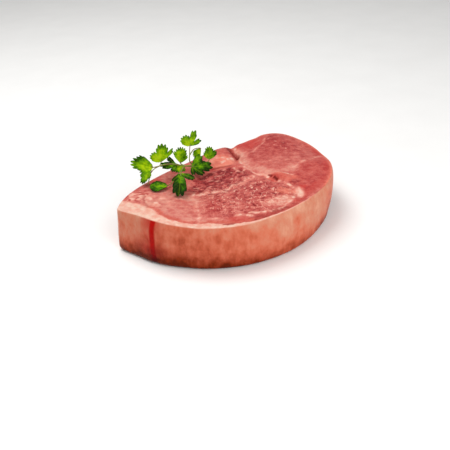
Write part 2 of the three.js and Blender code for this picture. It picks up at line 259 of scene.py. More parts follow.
# Rind: a run of blood down the wall
BLOOD_PLACE = 5.5  # the run's Y, on the heel's side
BLOOD_HALF_WIDTH = 3.1
BLOOD_HALO = (11, 11)  # reach along and down of the stain where the run begins
BLOOD_SMEAR = (9, 3)  # reach of the smears beside the run, and how far they lie to its left
BLOOD_POOL = (15, 16, 10)  # reach along, height and reach up of the stain at the run's foot
STAIN_STRENGTH = 0.8

# Slice: how its fine relief fades
CUT_FADE = 6  # power by which the cut face's relief dies away towards the rim
RIM_RELIEF = 0.3  # share of the wall's relief at the rim
RELIEF_RISE, RELIEF_FALL = 4, 5  # growth of that share below the rim, and its loss above the foot
WALL_START = (0.01, 0.14)  # range of it in which meat passes into rind

# Fineness of the slice's surface
GRID = 248  # cells along each side of the cut face's grid, an even number
RIM_ROWS = 4
SIDE_ROWS = 18
FOOT_ROWS = 5
BASE_RINGS = 5
BASE_DEPTH = 60  # how far from the rind the middle of the resting face counts as
LINE_SAMPLES = 60
OCTAVES = 3
OUTLINE_SAMPLES = 200
CURVE_SAMPLES = 4000

# Parsley leaflet: lobes that fan out from one base, each with a blunt, toothed end. Reaches and heights are
# shares of its length.
LEAF_THICKNESS = 0.5
LEAF_START = 0.04
LEAF_HEEL = 0.18
MIDRIB = 0.12
LOBE_BLUNTNESS = 2.5
TOOTH = 0.13
TEETH = 13
RIPPLE = 0.05
LEAF_FOLD = 0.22
LEAF_DROOP = 0.12
CRUMPLE = (0.07, 0.22)  # height and size of uneven bumps
VEIN_WIDTH = 0.02
VEIN_DEPTH = 0.018
VEIN_BRANCHES = 7
LEAF_HALF_PAINTED_LIGHT = 0.2  # how much lighter one half of it is, as painted light on the half that faces the lamp
LEAF_RINGS = 14
LEAF_SECTORS = 8 * TEETH

# Parsley: stalk sizes, the gap that keeps the sprig clear of the meat, and where its branches part.
STALK_RADIUS = 1.1
PETIOLE_RADIUS = 0.65
STALK_TAPER = 0.3
OFF_STALKS = (0.2, 0.3, 1)  # a direction that no stalk runs along
CONTACT_GAP = 0.8
STALK_SIDES = 10
STALK_RINGS = 24
NODE = (-25, 54, 57)
FORK = (-12, 61, 63)
BEND = (-49, 67, 62)

# Parsley: each leaflet's base and tip, the way its upper side looks, its lobes and how light a green it is,
# from 0 to 1: partly its own green, partly painted light and shade of lit and shaded leaflets. A lobe has a
# direction, a reach and half the angle that it spans, in degrees.
LEAFLETS = {
    "top": dict(
        base=(-6, 66, 70), tip=(2, 65, 86), face=(-0.5, -0.7, 0.3),
        lobes=[(0, 1, 27), (-41, 0.77, 25), (55, 0.76, 60)], light=0.66),
    "upper_left": dict(
        base=(-42, 73, 62), tip=(-37, 74, 81), face=(-0.6, -0.7, 0.3),
        lobes=[(0, 1, 46), (-37, 1, 14), (54, 0.72, 50)], light=0.68),
    "far_left": dict(
        base=(-57, 68, 63), tip=(-79, 75, 75), face=(-0.6, -0.6, 0.6),
        lobes=[(0, 1, 34), (-14, 0.84, 32), (26, 0.66, 32)], light=0.58),
    "left_low": dict(
        base=(-59, 72, 60), tip=(-74, 69, 51), face=(-0.8, -0.1, 0.6),
        lobes=[(0, 1, 34), (-26, 0.7, 32), (26, 0.7, 32)], light=0.55),
    "centre_up": dict(
        base=(-25, 62, 58), tip=(-21, 63, 75), face=(-0.6, -0.7, 0.3),
        lobes=[(0, 1, 50), (32, 0.84, 18), (-38, 0.66, 22)], light=0.6),
    "curl": dict(
        base=(-32, 60, 59), tip=(-49, 66, 63), face=(0, -0.5, 0.85),
        lobes=[(0, 1, 36), (-48, 0.7, 30), (48, 0.7, 30)], light=0.1),
    "right": dict(
        base=(10, 54, 52), tip=(13, 56, 66), face=(-0.4, -0.8, 0.4),
        lobes=[(0, 1, 48), (-38, 0.86, 32), (36, 0.72, 30)], light=0.5),
    "right_mid": dict(
        base=(2, 58, 67), tip=(-6, 61, 58), face=(-0.8, -0.5, 0.4),
        lobes=[(0, 1, 44), (-22, 0.82, 24), (22, 0.82, 24)], light=0.62),
    "dark_right": dict(
        base=(-20, 50, 56), tip=(-1, 37, 54), face=(-0.4, -0.5, 0.8),
        lobes=[(0, 1, 36), (-42, 0.7, 36), (44, 0.74, 34), (-86, 0.48, 30)], light=0.18),
    "centre": dict(
        base=(-27, 60, 57), tip=(-37, 56, 54), face=(-0.4, -0.6, 0.7),
        lobes=[(0, 1, 45), (-52, 0.85, 36), (52, 0.85, 36)], light=0.55),
    "lower": dict(
        base=(-47, 37, 62), tip=(-67, 20, 51), face=(-0.4, -0.5, 0.8),
        lobes=[(0, 1, 36), (-34, 0.5, 20), (62, 0.58, 32)], light=0.06),
    "low_left": dict(
        base=(-58, 46.5, 49.5), tip=(-73, 57, 49.5), face=(-0.1, -0.2, 1),
        lobes=[(0, 1, 62)], tooth=0.04, droop=0.04, light=0.32),
}

# Camera, fitted to the photograph: place in millimetres, turn, pitch below the horizon and roll in degrees
CAMERA_PLACE = (-476.25, -452.58, 376.22)
CAMERA_TURN, CAMERA_PITCH, CAMERA_ROLL = -45, 30.11, -2.21
CAMERA_LENS = 56.67
SENSOR_WIDTH = 36

# Floor and lights. Each light has a place, a size and watts.
FLOOR_HALF = 4000
FLOOR_HEIGHT = -0.2
SKY_STRENGTH = 0.4
LIGHT_AIM = (0, 0, 30)
LIGHTS = {
    "key": ((-100, 450, 1100), 700, 8.6),
    "fill": ((-200, -1000, 750), 900, 8.3),
}


def srgb(red, green, blue):
    """A colour on the screen, from 0 to 255, as the linear colour that a shader takes."""
    channels = np.array([red, green, blue]) / 255
    linear = np.where(channels <= 0.04045, channels / 12.92, ((channels + 0.055) / 1.055) ** 2.4)
    return (*linear.tolist(), 1.0)


def bell(distance, reach):
    """1 at no distance, falling off smoothly to about a third at the reach."""
    return np.exp(-((distance / reach) ** 2))


def spot(x, y, place_x, place_y, reach):
    """1 at a place of the plan, falling off round it."""
    return bell(np.hypot(x - place_x, y - place_y), reach)


def smoothstep(low, high, value):
    """0 below a range and 1 above it, with a smooth rise between."""
    share = np.clip((value - low) / (high - low), 0, 1)
    return share * share * (3 - 2 * share)


def smooth_line(points, closed=False):
    """Points on the centripetal spline through given ones, as many between each two, as an array."""
    points = np.array(points, float)
    if closed:
        ends = (points[-1:], points[:2])
    else:
        ends = (2 * points[:1] - points[1:2], 2 * points[-1:] - points[-2:-1])
    points = np.concatenate([ends[0], points, ends[1]])
    spans = len(points) - 3
    steps = np.linspace(0, 1, CURVE_SAMPLES // spans, endpoint=False)[:, None]
    pieces = []
    for before, start, end, after in zip(points, points[1:], points[2:], points[3:]):
        gaps = [np.linalg.norm(b - a) ** 0.5 for a, b in ((before, start), (start, end), (end, after))]
        first = (start - before) / gaps[0] - (end - before) / (gaps[0] + gaps[1]) + (end - start) / gaps[1]
        last = (end - start) / gaps[1] - (after - start) / (gaps[1] + gaps[2]) + (after - end) / gaps[2]
        first, last = first * gaps[1], last * gaps[1]
        cubic = 2 * start - 2 * end + first + last
        square = 3 * end - 3 * start - 2 * first - last
        pieces.append(start + first * steps + square * steps ** 2 + cubic * steps ** 3)
    return np.concatenate([*pieces, points[-2:-1]])


def lengths_along(line):
    """How far along a line each of its points is."""
    return np.concatenate([[0], np.cumsum(np.linalg.norm(np.diff(line, axis=0), axis=1))])


def spaced(line, shares):
    """The points of a line at shares of its length."""
    lengths = lengths_along(line)
    return np.stack([np.interp(shares * lengths[-1], lengths, axis) for axis in line.T], axis=-1)


def distance_to(line, x, y):
    """Distance in the plan from places to the nearest of a line's points."""
    nearest = np.full(np.shape(x), np.inf)
    for point in line:
        nearest = np.minimum(nearest, np.hypot(x - point[0], y - point[1]))
    return nearest


def unit(vectors):
    """Vectors brought to a length of 1."""
    return vectors / np.linalg.norm(vectors, axis=-1, keepdims=True)


def noise(x, y, z, wavelength, seed):
    """Smooth gradient noise, mostly from -0.7 to 0.7, with bumps of a given size in millimetres."""
    random = np.random.default_rng(seed)
    order = random.permutation(256)
    gradients = unit(random.normal(size=(256, 3)))
    place = np.stack(np.broadcast_arrays(x, y, z), axis=-1) / wavelength
    cell = np.floor(place).astype(int)
    inside = place - cell
    fade = inside ** 3 * (inside * (inside * 6 - 15) + 10)
    total = 0
    for corner in np.ndindex(2, 2, 2):
        i, j, k = (cell[..., axis] + corner[axis] for axis in range(3))
        slope = gradients[order[(order[(order[i & 255] + j) & 255] + k) & 255]]
        weight = np.prod(np.where(corner, fade, 1 - fade), axis=-1)
        total = total + weight * np.sum(slope * (inside - np.array(corner)), axis=-1)
    return total


def fractal(x, y, z, wavelength, seed):
    """Noise with finer and weaker noise added to it."""
    return sum(noise(x, y, z, wavelength / 2 ** i, seed + i) / 2 ** i for i in range(OCTAVES))


def turned(x, y, degrees):
    """How far places of the plan lie along a direction, and how far to its left."""
    angle = math.radians(degrees)
    return x * math.cos(angle) + y * math.sin(angle), y * math.cos(angle) - x * math.sin(angle)


def patch(x, y, place_x, place_y, along, across, turn, soft):
    """1 inside a turned ellipse of the plan and 0 outside, with a soft edge."""
    ahead, aside = turned(x - place_x, y - place_y, turn)
    return 1 - smoothstep(1 - soft, 1 + soft, np.hypot(ahead / along, aside / across))


def sampled(points):
    """A few evenly spaced points on the smooth line through given ones."""
    return spaced(smooth_line(points), np.linspace(0, 1, LINE_SAMPLES))


outline = smooth_line([landmark[:2] for landmark in OUTLINE], closed=True)
seam_lines = [sampled(line) for *_, line in SEAMS]
gash_line = sampled(GASH)


def landmark_shares():
    """How far round the outline each landmark is, from 0, with 1 for the first one again."""
    lengths = lengths_along(outline)
    step = CURVE_SAMPLES // len(OUTLINE)
    return lengths[::step] / lengths[-1]


def along_outline(u, column):
    """A column of the outline's landmarks, at shares u of the way round it."""
    levels = [landmark[column] for landmark in (*OUTLINE, OUTLINE[0])]
    return np.interp(u % 1, landmark_shares(), levels)


def rind_stretch():
    """Where the rind starts and ends, as shares of the way round the outline."""
    return np.interp(RIND_ENDS, np.arange(len(OUTLINE) + 1), landmark_shares())


def rind_outline():
    """The part of the outline that has rind, as points."""
    return spaced(outline, np.linspace(*rind_stretch(), OUTLINE_SAMPLES))


def outline_points(u, out):
    """Places of the plan at shares u of the way round the outline, moved out from the middle."""
    points = spaced(outline, np.asarray(u) % 1)
    dent = CLEFT_DEPTH * spot(points[..., 0], points[..., 1], *CLEFT, CLEFT_WIDTH)
    radius = np.linalg.norm(points, axis=-1)
    return points * ((radius + out - dent) / radius)[..., None]


def cut_height(x, y):
    """Height of the cut face, as in the solid."""
    height = np.full(np.shape(x), float(THICKNESS))
    for place_x, place_y, reach_x, reach_y, rise in MUSCLES:
        height += rise * bell(x - place_x, reach_x) * bell(y - place_y, reach_y)
    for (depth, width, _), line in zip(SEAMS, seam_lines):
        height -= depth * bell(distance_to(line, x, y), width)
    for *place, radius, depth in HOLLOWS:
        height -= depth * spot(x, y, *place, radius)
    return height


def grid_places():
    """The cut face's grid: share of the way out and share round the outline of each of its points."""
    steps = np.linspace(-1, 1, GRID + 1)
    a, b = np.meshgrid(steps, steps)
    t = np.maximum(abs(a), abs(b))
    scale = np.where(t == 0, 1, t)
    u = np.where(b == -t, (a / scale + 1) / 8, (7 - b / scale) / 8)
    u = np.where((a == t) & (b != -t), (b / scale + 3) / 8, u)
    u = np.where((b == t) & (a != t), (5 - a / scale) / 8, u)
    return t.ravel(), u.ravel()


def vertex_grid(rows, columns):
    """Vertex numbers of a grid, row by row."""
    return np.arange(rows * columns).reshape(rows, columns)


def grid_border():
    """The grid's border vertices, anticlockwise from its first corner."""
    index = vertex_grid(GRID + 1, GRID + 1)
    return np.concatenate([index[0, :-1], index[:-1, -1], index[-1, :0:-1], index[:0:-1, 0]])


def streaks(x, y, z, length, width, turn, seed):
    """Noise drawn out along a direction of the plan."""
    ahead, aside = turned(x, y, turn)
    return noise(ahead / length, aside / width, z / length, 1, seed)


def stroke(x, y, half_width, line):
    """How near places are to a line through given points, as 1 on it and less further off."""
    return bell(distance_to(sampled(line), x, y), half_width)


def paint(tone, cover, **levels):
    """Move values of a tone towards given levels, as far as each place is covered."""
    for key, level in levels.items():
        tone[key] += (level - tone[key]) * cover


def muscle_tone(place):
    """How pale, warm and red the muscles are, before their edges and marks."""
    tone = {key: np.full(place[0].shape, level) for key, level in USUAL_TONE.items()}
    for *shape, pale, warm, red in TONES:
        paint(tone, patch(*place, *shape), pale=pale, warm=warm, red=red)
    half_width, pale, line = PALE_BAND
    band = stroke(*place, half_width, line)
    paint(tone, 0.75 * band, pale=pale)
    paint(tone, 0.8 * band, red=0)
    return tone


def paint_edges(tone, x, y, z, inside):
    """Bands along the edge of the lean end: warm at its back, and red inside a warm edge at the rind."""
    lean_end = smoothstep(*LEAN_END, x)
    back = smoothstep(*BACK_SIDE, y)
    from_edge = distance_to(spaced(outline, np.linspace(0, 1, OUTLINE_SAMPLES)), x, y)
    near_top = smoothstep(*(THICKNESS - depth for depth in LIMB_DEPTH), z)
    reach, levels = BACK_LIMB
    paint(tone, lean_end * back * bell(from_edge, reach) * near_top, **levels)
    reach, levels = RED_LIMB
    paint(tone, lean_end * (1 - back) * bell(inside - RED_LIMB_PLACE, reach), **levels)
    reach, levels = EDGE_GLOW
    paint(tone, smoothstep(*GLOW_START, x) * (1 - back) * bell(inside, reach), **levels)


def film_fat(x, y, z, place):
    """How fat the films between the muscles are, with the thin ones broken up."""
    broken = np.clip(0.7 + 1.5 * fractal(x, y, z, 5, seed=11), 0, 1.3)
    return np.maximum.reduce([
        strength * stroke(*place, half_width, line) * (broken if half_width < WHOLE_WIDTH else 1)
        for half_width, strength, line in FILMS])


def rim_fat(x, y, z, u, inside):
    """How much of a place is the layer of fat under the rind, and how much is the lining inside that."""
    width = along_outline(u, FAT_WIDTH)
    edge = inside + np.minimum(FAT_WAVE[0], FAT_WAVE[1] * width) * fractal(x, y, z, 8, seed=21)
    soft = np.maximum(FAT_SOFTNESS[0], FAT_SOFTNESS[1] * width)
    rim = np.where(width > 0, 1 - smoothstep(width - soft, width + soft, edge), 0)
    rim *= np.clip(0.85 + 0.5 * fractal(x, y, z, 6, seed=24) + bell(inside, 2), 0, 1)
    rim *= np.clip(0.4 + width / 4, 0, 1)
    place, reach = LINING
    lining = bell(edge - width - place, reach) * (width > LINED_WIDTH) * (1 - smoothstep(*LINING_END, y))
    lining *= np.clip(0.8 + 1.2 * noise(x, y, z, 6, seed=26), 0, 1)
    return rim, lining


def flesh_values(x, y, z, u, inside):
    """How pale, warm, red, fat and marbled the meat is at places, where painted shade darkens its gash, pits
    and creases, and how ragged its surface is.
    """
    drift = [DRIFT[0] * fractal(x, y, z / 3, DRIFT[1], seed) for seed in (1, 2)]
    wander = [WANDER[0] * fractal(x, y, z / 2, WANDER[1], seed) for seed in (4, 7)]
    near = x + drift[0] + wander[0], y + drift[1] + wander[1]
    along = x + wander[0], y + wander[1]
    heart, front = patch(*near, *HEART), patch(*near, *FRONT)
    tone = muscle_tone(near)
    paint_edges(tone, x, y, z, inside)
    pale = 0.2 * fractal(x, y, z / 3, 13, seed=33) + 0.2 * streaks(x, y, z / 2, 9, 3.5, -45, seed=36)
    pale += (0.1 + 0.4 * heart + 0.2 * front) * fractal(x, y, z / 2, 5, seed=38)
    tone["pale"] += pale

    corner = patch(*along, *CORNER_MOTTLE)
    fat = np.maximum.reduce([
        film_fat(x, y, z, along),
        0.45 * heart * smoothstep(0.16, 0.4, streaks(x, y, z, 6.5, 4.2, -25, seed=41)),
        0.5 * patch(*near, *RUMP_FLECKS) * smoothstep(0.18, 0.4, noise(x, y, z, 4, seed=45)),
        0.85 * patch(*along, *LEFT_MOTTLE) * smoothstep(-0.25, 0.25, fractal(x, y, z / 2, 8, seed=43)),
        0.75 * corner * smoothstep(-0.3, 0.3, fractal(x, y, z / 2, 5, seed=31)),
    ])
    spots = corner * smoothstep(0.05, 0.35, fractal(x, y, z / 2, 5, seed=37))
    paint(tone, spots, pale=0.2)
    rim, lining = rim_fat(x, y, z, u, inside)
    paint(tone, lining, **LINING_TONE)
    fat = np.maximum(fat * (1 - spots) * (1 - 0.7 * lining), rim)

    between = x + wander[0] / 2, y + wander[1] / 2
    # dark lines: painted shade in the gash, the pits and a crease
    dark = np.maximum.reduce([
        strength * stroke(*between, half_width, line) for half_width, strength, line in DARK_LINES])
    tone["pale"] -= 0.4 * dark
    fat *= 1 - smoothstep(0.05, 0.45, dark)
    return {
        "pale": tone["pale"],
        "warm": np.clip(tone["warm"], 0, 1),
        "red": np.clip(np.maximum.reduce([tone["red"], 0.6 * spots, 0.6 * dark]), 0, 1),
        "fat": np.clip(fat, 0, 1),
        "dark": np.clip(dark, 0, 1),
        "marbled": np.clip(0.12 + 0.88 * front + 0.3 * heart, 0, 1),
        "ragged": np.maximum(heart, 0.5 * front),
    }


def rind_share(x, y, z, u):
    """1 on the stretch of the wall that is rind and 0 on the rest, with ragged ends."""
    start, end = rind_stretch()
    soft_start, soft_end = RIND_SOFTNESS
    ragged = u + soft_start * noise(x, y, z, 9, seed=51)
    from_start = np.where(ragged > LAST_STRETCH, ragged - 1, ragged)
    begun = smoothstep(start - soft_start, start + soft_start, from_start)
    return begun * (1 - smoothstep(end - soft_end, end + soft_end, ragged))


def rind_blush_and_shade(x, y, z, u):
    """How red the rind is: paler below the rim, redder and darker at the foot, partly with painted shade,
    and blotched.
    """
    blush = along_outline(u, REDNESS)
    blush -= TOP_PALENESS * bell(THICKNESS - z, TOP_REACH)
    # redder and darker at the foot: partly redder skin, partly painted shade where the wall turns under
    blush += FOOT_BLUSH_AND_SHADE * bell(np.maximum(z, 0), FOOT_BLUSH_AND_SHADE_HEIGHT)
    for *place, height, reach, tall, change in BLUSHES_AND_SHADE:
        blush += change * spot(x, y, *place, reach) * bell(z - height, tall)
    return blush + 0.16 * fractal(x, y, z, 16, seed=61) + 0.12 * noise(x, y, z / 4, 5, seed=66)


def blood_share(x, y, z):
    """How bloody the rind is: a run down the wall, a stain at each of its ends, and smears beside it."""
    side = y - BLOOD_PLACE - 0.8 * noise(0, 0, z, 15, seed=73)
    elsewhere = np.maximum(x, 0)
    wobble = noise(x, y, z / 3, 5, seed=71)
    beside = abs(side - BLOOD_SMEAR[1]) + elsewhere + 2 * wobble
    run = 1 - smoothstep(0.6, 1.7, (abs(side) + elsewhere + 0.8 * wobble) / BLOOD_HALF_WIDTH)
    stains = np.maximum.reduce([
        bell(beside, BLOOD_HALO[0]) * bell(np.maximum(THICKNESS - z, 0), BLOOD_HALO[1]),
        bell(beside, BLOOD_SMEAR[0]) * smoothstep(-0.4, 0.4, noise(x, y, z, 7, seed=81)),
        bell(beside, BLOOD_POOL[0]) * bell(z - BLOOD_POOL[1], BLOOD_POOL[2]),
    ])
    return np.clip(np.maximum(run, STAIN_STRENGTH * stains), 0, 1)


def rind_values(x, y, z, u, wall):
    """How much of a place is rind, how red the rind is, with painted shade at its foot, and how bloody it is
    there.
    """
    rind = wall * rind_share(x, y, z, u)
    return {"rind": rind, "blush": rind_blush_and_shade(x, y, z, u), "blood": rind * blood_share(x, y, z)}


def cut_face():
    """The cut face's grid: points, shares round the outline, distances from the rind, and no wall."""
    t, u = grid_places()
    x, y = (outline_points(u, -RIM_RADIUS) * t[:, None]).T
    inside = distance_to(rind_outline(), x, y)
    values = flesh_values(x, y, np.full(x.shape, float(THICKNESS)), u, inside)
    z = cut_height(x, y) + rim_wave(x, y) + (1 - t ** CUT_FADE) * cut_relief(x, y, values)
    return np.stack([x, y, z], axis=1), u, inside, np.zeros(x.shape)


def wall_surface(around):
    """The wall's rows from the cut face down, each with the same four things as the cut face."""
    edge = outline_points(around, -RIM_RADIUS)
    edge_top = cut_height(*edge.T) + rim_wave(*edge.T)
    inside = np.maximum(distance_to(rind_outline(), *edge.T) - 2 * RIM_RADIUS, 0)
    curved = 1 - spot(*edge.T, *OUTLINE[0][:2], STRAIGHT_REACH)
    spread = sum(extra * spot(*edge.T, *place, reach) for *place, reach, extra in SPREADS)
    for out, bulge, height, share, fade in wall_rows(edge_top):
        flat = outline_points(around, out + bulge * curved + share * spread)
        bump = fade * wall_relief(*flat.T, height)
        flat = flat * (1 + bump / np.linalg.norm(flat, axis=1))[:, None]
        wall = np.full(len(around), smoothstep(*WALL_START, fade + share))
        yield np.column_stack([flat, height]), around, inside, wall


def resting_face(foot, around):
    """The resting face's rings, from the foot of the wall in to one point, with the same four things."""
    for ring in range(1, BASE_RINGS + 1):
        points = foot * (1 - ring / BASE_RINGS) if ring < BASE_RINGS else np.zeros((1, 3))
        count = len(points)
        yield points, around[:count], np.full(count, BASE_DEPTH * ring / BASE_RINGS), np.zeros(count)


def slice_surface():
    """The slice's points, faces and values: a gridded cut face, the wall round it and the resting face."""
    border = grid_border()
    around = np.arange(len(border)) / len(border)
    wall_parts = list(wall_surface(around))
    foot = wall_parts[-1][0]
    parts = [cut_face(), *wall_parts, *resting_face(foot, around)]
    points, u, inside, wall = (np.concatenate(column) for column in zip(*parts))
    values = {
        **flesh_values(*points.T, u, inside),
        **rind_values(*points.T, u, wall),
    }
    return points, slice_faces(border), values


def rim_wave(x, y):
    """Slow unevenness of the cut, which the wall's top edge follows too."""
    return 0.3 * noise(x, y, 0, 26, seed=91)


def cut_relief(x, y, values):
    """Fine relief of the cut face: bundles of fibres, rougher in the ragged muscles and smooth in fat."""
    lean = 1 - values["fat"]
    bundles = 0.22 * noise(x, y, 0, 3.2, seed=101) + 0.3 * noise(x, y, 0, 9, seed=102)
    tears = 0.9 * values["ragged"] * fractal(0.6 * (x - y), 1.2 * (x + y), 0, 6, seed=103)
    lumps = 0.5 * values["fat"] * smoothstep(0.3, 0.9, values["fat"])
    shift_x, shift_y = (3 * noise(x, y, 0, 5, seed) for seed in (104, 105))
    from_gash = distance_to(gash_line, x + shift_x, y + shift_y)
    return lean * (bundles + tears) + lumps - GASH_DEPTH * bell(from_gash, GASH_WIDTH)


def wall_relief(x, y, z):
    """Relief of the wall: broad lumps, and finer puckers that run up and down."""
    lumps = 0.7 * noise(x, y, z, 32, seed=111)
    puckers = 0.35 * fractal(x, y, z / 4, 7, seed=112)
    return lumps + puckers


def wall_rows(edge_top):
    """The wall's rows from the cut face down: distance out, bulge, height, share of the way down and share
    of the relief."""
    side_top = edge_top - RIM_RADIUS
    for i in range(1, RIM_ROWS + 1):
        turn = math.pi / 2 * i / RIM_ROWS
        out = -RIM_RADIUS * (1 - math.sin(turn))
        yield out, 0, edge_top - RIM_RADIUS * (1 - math.cos(turn)), 0, RIM_RELIEF * (i / RIM_ROWS) ** 2
    for i in range(1, SIDE_ROWS):
        share = i / SIDE_ROWS
        bulge = BELLY * math.sin(math.pi * share ** BELLY_SKEW)
        height = side_top + (FOOT_RADIUS - side_top) * share
        yield 0, bulge, height, share, min(1, RIM_RELIEF + RELIEF_RISE * share, RELIEF_FALL * (1 - share))
    for i in range(FOOT_ROWS + 1):
        turn = math.pi / 2 * i / FOOT_ROWS
        height = np.full(len(edge_top), FOOT_RADIUS * (1 - math.sin(turn)))
        yield -FOOT_RADIUS * (1 - math.cos(turn)), 0, height, 1, 0


def grid_cells(index):
    """The four-sided cells of a grid of vertex numbers."""
    corners = (index[:-1, :-1], index[:-1, 1:], index[1:, 1:], index[1:, :-1])
    return np.stack(corners, axis=-1).reshape(-1, 4)


def slice_faces(border):
    """Faces over the grid, down the wall and over the resting face."""
    index = vertex_grid(GRID + 1, GRID + 1)
    faces = grid_cells(index).tolist()
    upper = border
    start = index.size
    count = len(border)
    wall_bands = RIM_ROWS + SIDE_ROWS + FOOT_ROWS
    for _ in range(wall_bands + BASE_RINGS - 1):
        lower = np.arange(start, start + count)
        faces += np.stack([upper, lower, np.roll(lower, -1), np.roll(upper, -1)], axis=1).tolist()
        upper = lower
        start += count
    faces += np.stack([np.full(count, start), np.roll(upper, -1), upper], axis=1).tolist()
    return faces


def leaf_reach(degrees, lobes):
    """Reach of a leaflet's edge, as a share of its length, in directions from its base, and how many degrees
    each direction is off the middle of its lobe."""
    lobe_shape = (-1, *[1] * degrees.ndim)
    middle, length, half = (np.reshape(numbers, lobe_shape) for numbers in zip(*lobes))
    off = degrees - middle
    reach = length * (1 - np.minimum(1, abs(off) / half) ** LOBE_BLUNTNESS)
    longest = np.argmax(reach, axis=0)[None]
    reach, off = (np.take_along_axis(numbers, longest, axis=0)[0] for numbers in (reach, off))
    return np.maximum(LEAF_HEEL, reach), off


def leaf_blade(base, tip, face, lobes, light, tooth=TOOTH, droop=LEAF_DROOP):
    """A leaflet's closed thin blade: points, faces and values."""
    start, end = np.array(base, float), np.array(tip, float)
    length = np.linalg.norm(end - start)
    along = unit(end - start)
    up = unit(np.array(face) - np.dot(face, along) * along)
    sideways = np.cross(up, along)
    first = min(middle - half for middle, _, half in lobes)
    last = max(middle + half for middle, _, half in lobes)
    turn = np.linspace(0, 1, LEAF_SECTORS + 1)[None, :]
    degrees = first + (last - first) * turn
    angle = np.radians(degrees)
    out = np.linspace(LEAF_START, 1, LEAF_RINGS + 1)[:, None]
    edge, off = leaf_reach(degrees, lobes)
    notch = tooth * (1 - abs(np.sin(math.pi * TEETH * turn)))
    reach = edge * (1 - notch * out ** 2) * out
    off_vein = np.sin(np.radians(off)) * reach
    rib = bell(off_vein, VEIN_WIDTH) * (1 - 0.6 * out)
    branch = ((reach - 1.3 * abs(off_vein)) * VEIN_BRANCHES) % 1 - 0.5
    vein = np.maximum(rib, 0.45 * bell(branch, 0.13) * (1 - out ** 4))
    ahead, aside = reach * np.cos(angle), reach * np.sin(angle)
    ripple = RIPPLE * np.cos(TEETH / 2 * angle)
    height = LEAF_FOLD * abs(aside) + (ripple - droop) * reach ** 2 - VEIN_DEPTH * vein
    height = height + CRUMPLE[0] * out * noise(ahead, aside, start[0], CRUMPLE[1], seed=121)
    moves = length * np.stack([ahead, aside, height], axis=-1).reshape(-1, 3)
    blade = start + moves @ np.array([along, sideways, up])
    points = np.concatenate([blade, blade - LEAF_THICKNESS * up])
    # lightness of the green: the leaflet's light value, partly painted light and shade, lighter at the base,
    # darker to the edge, and one half lighter as painted light
    shade = light + 0.25 - 0.5 * out ** 2 + LEAF_HALF_PAINTED_LIGHT * np.sin(angle)
    values = {"vein": np.tile(vein.ravel(), 2), "light": np.tile(shade.ravel(), 2)}
    return points, sheet_faces(LEAF_RINGS, LEAF_SECTORS), values


def sheet_faces(rows, columns):
    """Faces of a closed sheet: a grid of points, its copy underneath, and the strip between their edges."""
    index = vertex_grid(rows + 1, columns + 1)
    under = index.size
    cells = grid_cells(index.T)
    border = np.concatenate([index[:-1, 0], index[-1, :-1], index[:0:-1, -1], index[0, :0:-1]])
    after = np.roll(border, -1)
    strip = np.stack([border, border + under, after + under, after], axis=1)
    return np.concatenate([cells, cells[:, ::-1] + under, strip])


def stalk_tube(points, radius):
    """A closed tube along the smooth line through given points, a little thinner towards its end."""
    shares = np.linspace(0, 1, STALK_RINGS + 1)
    line = spaced(smooth_line(points), shares)
    ahead = unit(np.gradient(line, axis=0))
    side = unit(np.cross(ahead, OFF_STALKS))
    other = np.cross(ahead, side)
    turn = 2 * math.pi * np.arange(STALK_SIDES)[:, None] / STALK_SIDES
    thick = radius * (1 - STALK_TAPER * shares)[:, None, None]
    around = np.cos(turn) * side[:, None] + np.sin(turn) * other[:, None]
    points = np.concatenate([(line[:, None] + thick * around).reshape(-1, 3), line[:1], line[-1:]])
    index = vertex_grid(STALK_RINGS + 1, STALK_SIDES)
    after = np.roll(index, -1, axis=1)
    first, last = index.size, index.size + 1
    faces = np.stack([index[:-1], after[:-1], after[1:], index[1:]], axis=-1).reshape(-1, 4).tolist()
    for i in range(STALK_SIDES):
        faces.append((first, after[0, i], index[0, i]))
        faces.append((last, index[-1, i], after[-1, i]))
    return points, faces


def on_meat(x, y, half):
    """A place lying on the cut face, for the middle of something of a given half thickness."""
    return (x, y, cut_height(x, y) + half + CONTACT_GAP)


def into(leaf):
    """The last points of a stalk that ends in a leaflet."""
    base, tip = (np.array(LEAFLETS[leaf][end], float) for end in ("base", "tip"))
    return [base, base + MIDRIB * (tip - base)]


def stalk_lines():
    """Each stalk of the sprig as a line of points and a radius."""
    rise = (-14, 54, 53)
    low = (-58, 70, 58)
    foot = on_meat(-3, 52, STALK_RADIUS)
    petioles = [
        [rise, (-15, 58, 58), FORK, *into("top")],
        [FORK, (-6, 60, 68), *into("right_mid")],
        [NODE, (-38, 61, 62), BEND, low, on_meat(-68, 66, PETIOLE_RADIUS)],
        [BEND, *into("upper_left")],
        [BEND, *into("far_left")],
        [low, *into("left_low")],
        [NODE, *into("centre_up")],
        [NODE, *into("curl")],
        [foot, *into("right")],
        [rise, *into("dark_right")],
        [NODE, *into("centre")],
        [NODE, (-37, 45, 62), *into("lower")],
        [NODE, (-36, 54, 52), on_meat(-48, 51, PETIOLE_RADIUS), *into("low_left")],
    ]
    yield [on_meat(6, 50, STALK_RADIUS), foot, rise, NODE], STALK_RADIUS
    for line in petioles:
        yield line, PETIOLE_RADIUS


def joined(parts):
    """Several meshes of points, faces and values as one."""
    points, faces, values = zip(*parts)
    starts = np.cumsum([0, *map(len, points)])
    all_faces = [(np.array(face) + start).tolist() for start, part in zip(starts, faces) for face in part]
    all_values = {key: np.concatenate([value[key] for value in values]) for key in values[0]}
    return np.concatenate(points), all_faces, all_values


def add_object(name, data):
    """A new object in the scene."""
    thing = bpy.data.objects.new(name, data)
    bpy.context.scene.collection.objects.link(thing)
    return thing


